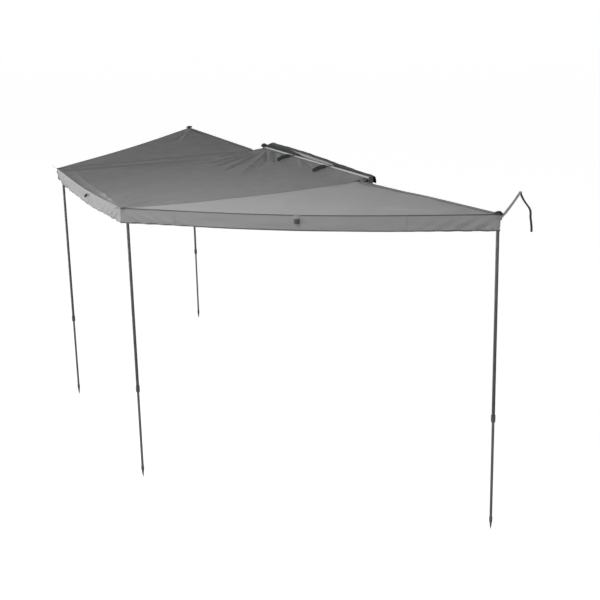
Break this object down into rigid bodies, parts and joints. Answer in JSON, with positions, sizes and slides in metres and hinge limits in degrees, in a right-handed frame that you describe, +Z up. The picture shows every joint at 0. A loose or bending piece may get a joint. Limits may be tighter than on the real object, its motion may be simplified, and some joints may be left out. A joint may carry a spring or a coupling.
{
  "type": "vehicle side awning",
  "caption": "Folding vehicle side awning: a bracketed backboard with a hinged pair of arms at each end, telescopic legs and a grey fabric roof with valances.",
  "frame": {"origin": "underside of the centre bracket's foot, where it stands on the rack, midway between its two slots", "axes": "+Z up, +Y towards the vehicle's front along the backboard, -X outboard, the way the roof opens"},
  "size_m": [3.594, 5.916, 2.163],
  "materials": {
    "bare_alloy": "clear anodised",
    "black_alloy": "satin black anodised",
    "black_casting": "black powder coat",
    "black_plastic": "moulded",
    "coated_cover": "dark coated fabric",
    "coated_steel": "black powder coat",
    "grey_canopy": "coated grey cloth",
    "pale_webbing": "pale grey woven webbing",
    "webbing": "dark woven webbing",
    "zinc_steel": "bright zinc"
  },
  "bodies": {
    "board": {"back_board": "black_alloy", "bracket_centre": "coated_steel", "bracket_front": "coated_steel", "bracket_rear": "coated_steel", "bracket_studs_centre": "zinc_steel", "bracket_studs_front": "zinc_steel", "bracket_studs_rear": "zinc_steel", "centre_canopy_front": "grey_canopy", "centre_canopy_rear": "grey_canopy", "front_end_cap": "black_plastic", "front_hinge_bolts": "zinc_steel", "front_hinge_bracket": "black_casting", "front_hinge_pin": "zinc_steel", "keder_rail": "bare_alloy", "rear_end_cap": "black_plastic", "rear_hinge_bolts": "zinc_steel", "rear_hinge_bracket": "black_casting", "rear_hinge_pin": "zinc_steel", "storage_strap_front": "webbing", "storage_strap_rear": "webbing", "travel_cover": "coated_cover"},
    "front_end_arm_body": {"front_end_arm": "black_alloy", "front_end_knuckle": "black_casting", "front_end_tip": "black_casting"},
    "front_end_inner_leg_body": {"front_end_leg_foot": "black_plastic", "front_end_leg_lower": "black_alloy"},
    "front_end_leg_body": {"front_end_leg_head": "black_plastic", "front_end_leg_upper": "black_alloy"},
    "front_end_lock_body": {"front_end_leg_lock": "black_plastic"},
    "front_mid_arm_body": {"front_end_pin": "zinc_steel", "front_mid_arm": "black_alloy", "front_mid_knuckle": "black_casting", "front_mid_tip": "black_casting", "front_wing_canopy": "grey_canopy"},
    "front_mid_inner_leg_body": {"front_mid_leg_foot": "black_plastic", "front_mid_leg_lower": "black_alloy"},
    "front_mid_leg_body": {"front_mid_leg_head": "black_plastic", "front_mid_leg_upper": "black_alloy"},
    "front_mid_lock_body": {"front_mid_leg_lock": "black_plastic"},
    "rear_end_arm_body": {"rear_end_arm": "black_alloy", "rear_end_knuckle": "black_casting", "rear_end_tip": "black_casting", "tie_hook": "black_plastic", "tie_strap": "pale_webbing", "tie_tail": "pale_webbing"},
    "rear_end_inner_leg_body": {"rear_end_leg_foot": "black_plastic", "rear_end_leg_lower": "black_alloy"},
    "rear_end_leg_body": {"rear_end_leg_head": "black_plastic", "rear_end_leg_upper": "black_alloy"},
    "rear_end_lock_body": {"rear_end_leg_lock": "black_plastic"},
    "rear_mid_arm_body": {"rear_end_pin": "zinc_steel", "rear_mid_arm": "black_alloy", "rear_mid_knuckle": "black_casting", "rear_mid_tip": "black_casting", "rear_wing_canopy": "grey_canopy"},
    "rear_mid_inner_leg_body": {"rear_mid_leg_foot": "black_plastic", "rear_mid_leg_lower": "black_alloy"},
    "rear_mid_leg_body": {"rear_mid_leg_head": "black_plastic", "rear_mid_leg_upper": "black_alloy"},
    "rear_mid_lock_body": {"rear_mid_leg_lock": "black_plastic"}
  },
  "joints": [
    {"name": "rear_mid_swing", "type": "hinge", "parent": "board", "child": "rear_mid_arm_body", "pos_m": [-0.159, -1.03, 0.097], "axis": [0, 0, -1], "range_deg": [0, 90], "deforming": ["centre_canopy_rear", "storage_strap_rear", "rear_wing_canopy"]},
    {"name": "rear_end_swing", "type": "hinge", "parent": "rear_mid_arm_body", "child": "rear_end_arm_body", "pos_m": [-0.159, -1.058, 0.097], "axis": [0, 0, -1], "range_deg": [0, 90], "deforming": ["tie_strap", "tie_tail", "tie_hook"]},
    {"name": "front_mid_swing", "type": "hinge", "parent": "board", "child": "front_mid_arm_body", "pos_m": [-0.215, 1.03, 0.097], "axis": [0, 0, 1], "range_deg": [0, 90], "deforming": ["centre_canopy_front", "storage_strap_front", "front_wing_canopy"]},
    {"name": "front_end_swing", "type": "hinge", "parent": "front_mid_arm_body", "child": "front_end_arm_body", "pos_m": [-0.215, 1.058, 0.097], "axis": [0, 0, 1], "range_deg": [0, 90]},
    {"name": "rear_mid_leg_fold", "type": "hinge", "parent": "rear_mid_arm_body", "child": "rear_mid_leg_body", "pos_m": [-2.01262, -1.03, 0.00686], "axis": [0, -1, 0], "range_deg": [-12, 90]},
    {"name": "rear_mid_lock_turn", "type": "hinge", "parent": "rear_mid_leg_body", "child": "rear_mid_lock_body", "pos_m": [-2.01262, -1.03, -1.27314], "axis": [0, 0, -1], "range_deg": [0, 90]},
    {"name": "rear_mid_leg_length", "type": "slide", "parent": "rear_mid_leg_body", "child": "rear_mid_inner_leg_body", "axis": [0, 0, -1], "range_m": [-0.5819, 0.4174]},
    {"name": "rear_end_leg_fold", "type": "hinge", "parent": "rear_end_arm_body", "child": "rear_end_leg_body", "pos_m": [-0.159, -2.91381, 0.09474], "axis": [1, 0, 0], "range_deg": [-12, 88.4]},
    {"name": "rear_end_lock_turn", "type": "hinge", "parent": "rear_end_leg_body", "child": "rear_end_lock_body", "pos_m": [-0.159, -2.91381, -1.18526], "axis": [0, 0, -1], "range_deg": [0, 90]},
    {"name": "rear_end_leg_length", "type": "slide", "parent": "rear_end_leg_body", "child": "rear_end_inner_leg_body", "axis": [0, 0, -1], "range_m": [-0.6697, 0.3296]},
    {"name": "front_mid_leg_fold", "type": "hinge", "parent": "front_mid_arm_body", "child": "front_mid_leg_body", "pos_m": [-2.01334, 1.03, 0.02347], "axis": [0, -1, 0], "range_deg": [-12, 90]},
    {"name": "front_mid_lock_turn", "type": "hinge", "parent": "front_mid_leg_body", "child": "front_mid_lock_body", "pos_m": [-2.01334, 1.03, -1.25653], "axis": [0, 0, -1], "range_deg": [0, 90]},
    {"name": "front_mid_leg_length", "type": "slide", "parent": "front_mid_leg_body", "child": "front_mid_inner_leg_body", "axis": [0, 0, -1], "range_m": [-0.5985, 0.4008]},
    {"name": "front_end_leg_fold", "type": "hinge", "parent": "front_end_arm_body", "child": "front_end_leg_body", "pos_m": [-0.215, 2.91358, 0.06739], "axis": [-1, 0, 0], "range_deg": [-12, 89.2]},
    {"name": "front_end_lock_turn", "type": "hinge", "parent": "front_end_leg_body", "child": "front_end_lock_body", "pos_m": [-0.215, 2.91358, -1.21261], "axis": [0, 0, -1], "range_deg": [0, 90]},
    {"name": "front_end_leg_length", "type": "slide", "parent": "front_end_leg_body", "child": "front_end_inner_leg_body", "axis": [0, 0, -1], "range_m": [-0.6424, 0.3569]}
  ]
}
